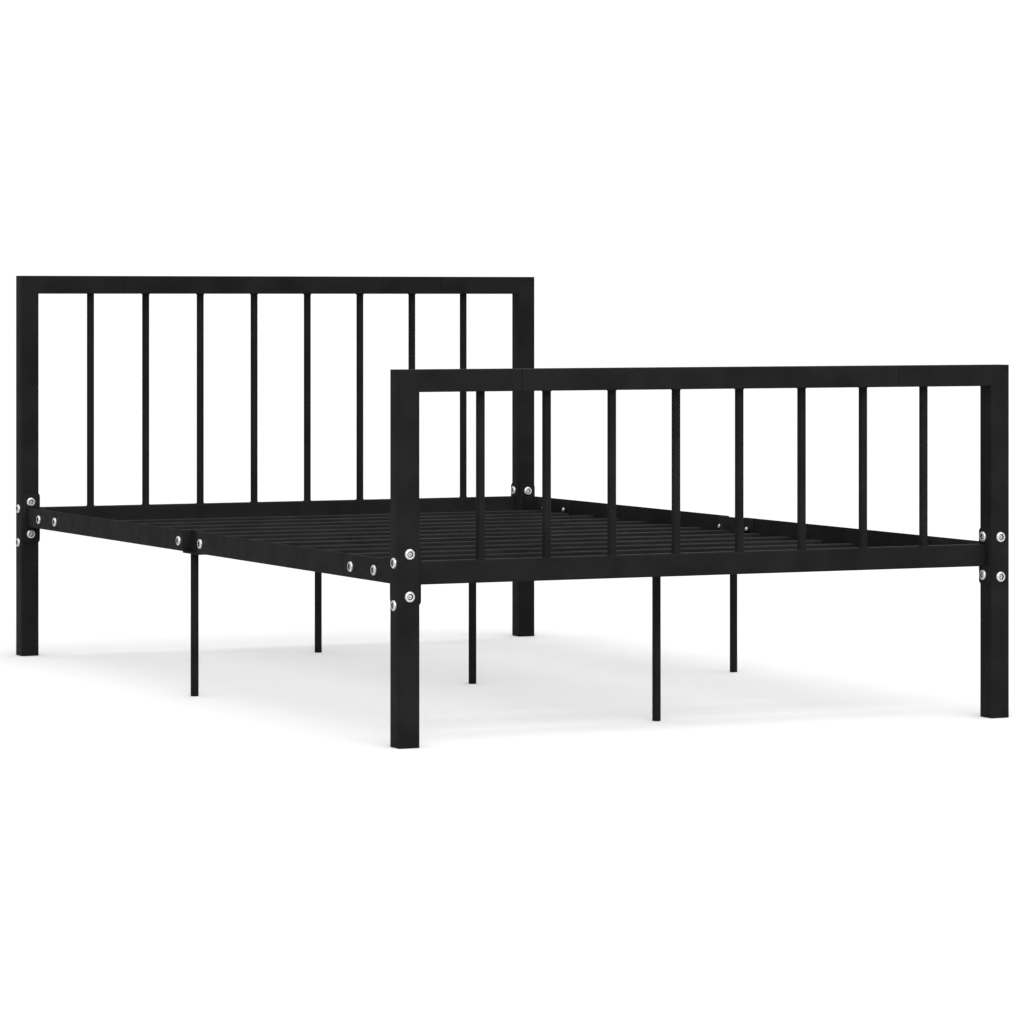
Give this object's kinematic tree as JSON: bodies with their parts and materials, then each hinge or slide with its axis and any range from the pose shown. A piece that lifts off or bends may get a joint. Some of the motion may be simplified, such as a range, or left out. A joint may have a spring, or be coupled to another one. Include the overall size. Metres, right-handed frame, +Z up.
{
  "type": "bed frame",
  "caption": "Metal bed frame with barred headboard and footboard, bolted two-piece side rails, slatted base and thin support legs.",
  "frame": {"origin": "on the floor, below the centre of the frame's bounding box", "axes": "+X to the right seen from the footboard, +Y from the footboard to the headboard, +Z up"},
  "size_m": [1.274, 2.1164, 0.845],
  "materials": {
    "black_powder_coat": "satin black powder coat on steel",
    "black_base_coat": "matt black powder coat on steel",
    "bright_zinc": "bright zinc plated steel"
  },
  "bodies": {
    "root": {"corner_frame_foot_left": "black_powder_coat", "corner_frame_foot_right": "black_powder_coat", "corner_frame_head_left": "black_powder_coat", "corner_frame_head_right": "black_powder_coat", "side_rail_foot_left": "black_powder_coat", "side_rail_foot_right": "black_powder_coat", "side_rail_head_left": "black_powder_coat", "side_rail_head_right": "black_powder_coat", "rail_bracket_foot_left": "black_powder_coat", "rail_bracket_foot_right": "black_powder_coat", "rail_bracket_head_left": "black_powder_coat", "rail_bracket_head_right": "black_powder_coat", "centre_panel_foot": "black_powder_coat", "centre_panel_head": "black_powder_coat", "mid_cross_frame": "black_powder_coat", "leg_mid_left": "black_powder_coat", "leg_mid_right": "black_powder_coat", "leg_mid_centre": "black_powder_coat", "leg_centre_foot": "black_powder_coat", "leg_centre_head": "black_powder_coat", "slat_base_foot": "black_base_coat", "slat_base_head": "black_base_coat", "bolt_rail_foot_left_upper": "bright_zinc", "bolt_panel_foot_left_upper": "bright_zinc", "bolt_outer_foot_left_upper": "bright_zinc", "bolt_rail_foot_left_lower": "bright_zinc", "bolt_panel_foot_left_lower": "bright_zinc", "bolt_outer_foot_left_lower": "bright_zinc", "bolt_side_foot_left_end": "bright_zinc", "bolt_side_foot_left_inner": "bright_zinc", "bolt_side_foot_left_middle": "bright_zinc", "bolt_rail_foot_right_upper": "bright_zinc", "bolt_panel_foot_right_upper": "bright_zinc", "bolt_outer_foot_right_upper": "bright_zinc", "bolt_rail_foot_right_lower": "bright_zinc", "bolt_panel_foot_right_lower": "bright_zinc", "bolt_outer_foot_right_lower": "bright_zinc", "bolt_side_foot_right_end": "bright_zinc", "bolt_side_foot_right_inner": "bright_zinc", "bolt_side_foot_right_middle": "bright_zinc", "bolt_rail_head_left_upper": "bright_zinc", "bolt_panel_head_left_upper": "bright_zinc", "bolt_outer_head_left_upper": "bright_zinc", "bolt_rail_head_left_lower": "bright_zinc", "bolt_panel_head_left_lower": "bright_zinc", "bolt_outer_head_left_lower": "bright_zinc", "bolt_side_head_left_end": "bright_zinc", "bolt_side_head_left_inner": "bright_zinc", "bolt_side_head_left_middle": "bright_zinc", "bolt_rail_head_right_upper": "bright_zinc", "bolt_panel_head_right_upper": "bright_zinc", "bolt_outer_head_right_upper": "bright_zinc", "bolt_rail_head_right_lower": "bright_zinc", "bolt_panel_head_right_lower": "bright_zinc", "bolt_outer_head_right_lower": "bright_zinc", "bolt_side_head_right_end": "bright_zinc", "bolt_side_head_right_inner": "bright_zinc", "bolt_side_head_right_middle": "bright_zinc"}
  },
  "joints": []
}
